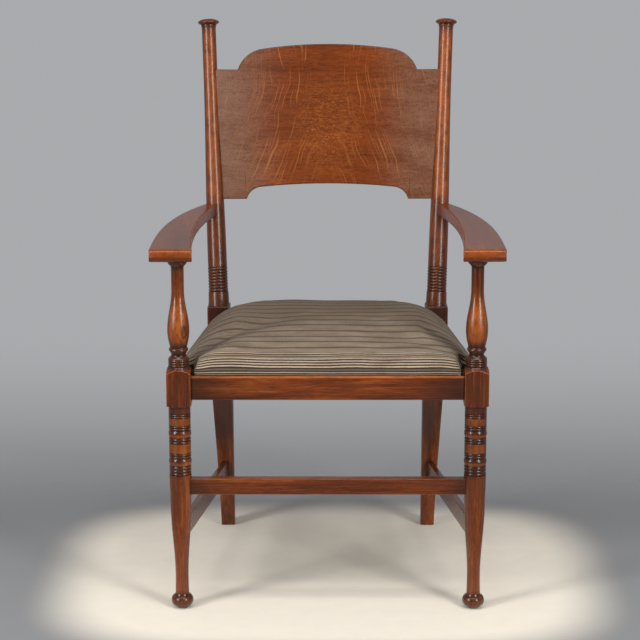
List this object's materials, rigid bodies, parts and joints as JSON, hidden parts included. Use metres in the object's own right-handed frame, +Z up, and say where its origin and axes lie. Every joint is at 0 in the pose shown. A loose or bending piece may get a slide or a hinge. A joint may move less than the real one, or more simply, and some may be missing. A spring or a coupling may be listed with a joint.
{
  "type": "upholstered armchair",
  "caption": "High-backed open armchair with turned and ringed front legs, a bowed arched back board, flat sweeping arms and a loose upholstered seat.",
  "frame": {"origin": "centre of the bounding box on the floor, under the seat", "axes": "+Z up, -Y is the front, towards which a sitter faces, and +X is the right side seen from the front"},
  "size_m": [0.636, 0.597, 1.0457],
  "materials": {
    "oak": "polished, dark red-brown",
    "beech": "plain, unpolished",
    "seat_frame_wood": "plain, unpolished",
    "steel": "dull",
    "webbing": "woven",
    "hessian": "coarse woven",
    "stuffing": "hair and wadding",
    "striped_cover": "woven, fine horizontal stripes in cream, taupe and black",
    "bottom_cloth": "plain woven"
  },
  "bodies": {
    "chair": {"front_leg_left": "oak", "front_leg_right": "oak", "back_post_left": "oak", "back_post_right": "oak", "back_board": "oak", "arm_left": "oak", "arm_right": "oak", "arm_dowels": "beech", "front_rail": "oak", "back_rail": "oak", "side_rail_left": "oak", "side_rail_right": "oak", "corner_brace_front_left": "beech", "corner_brace_front_right": "beech", "corner_brace_back_left": "beech", "corner_brace_back_right": "beech", "brace_screws": "steel", "front_stretcher": "oak", "side_stretcher_left": "oak", "side_stretcher_right": "oak"},
    "seat": {"seat_frame_front": "seat_frame_wood", "seat_frame_back": "seat_frame_wood", "seat_frame_left": "seat_frame_wood", "seat_frame_right": "seat_frame_wood", "webbing_lengthwise": "webbing", "webbing_crosswise": "webbing", "hessian": "hessian", "stuffing": "stuffing", "seat_cover": "striped_cover", "bottom_cloth": "bottom_cloth", "cloth_tacks": "steel"}
  },
  "joints": [
    {"name": "seat_lift", "type": "slide", "parent": "chair", "child": "seat", "axis": [0, 0, 1], "range_m": [0, 0.12]}
  ]
}
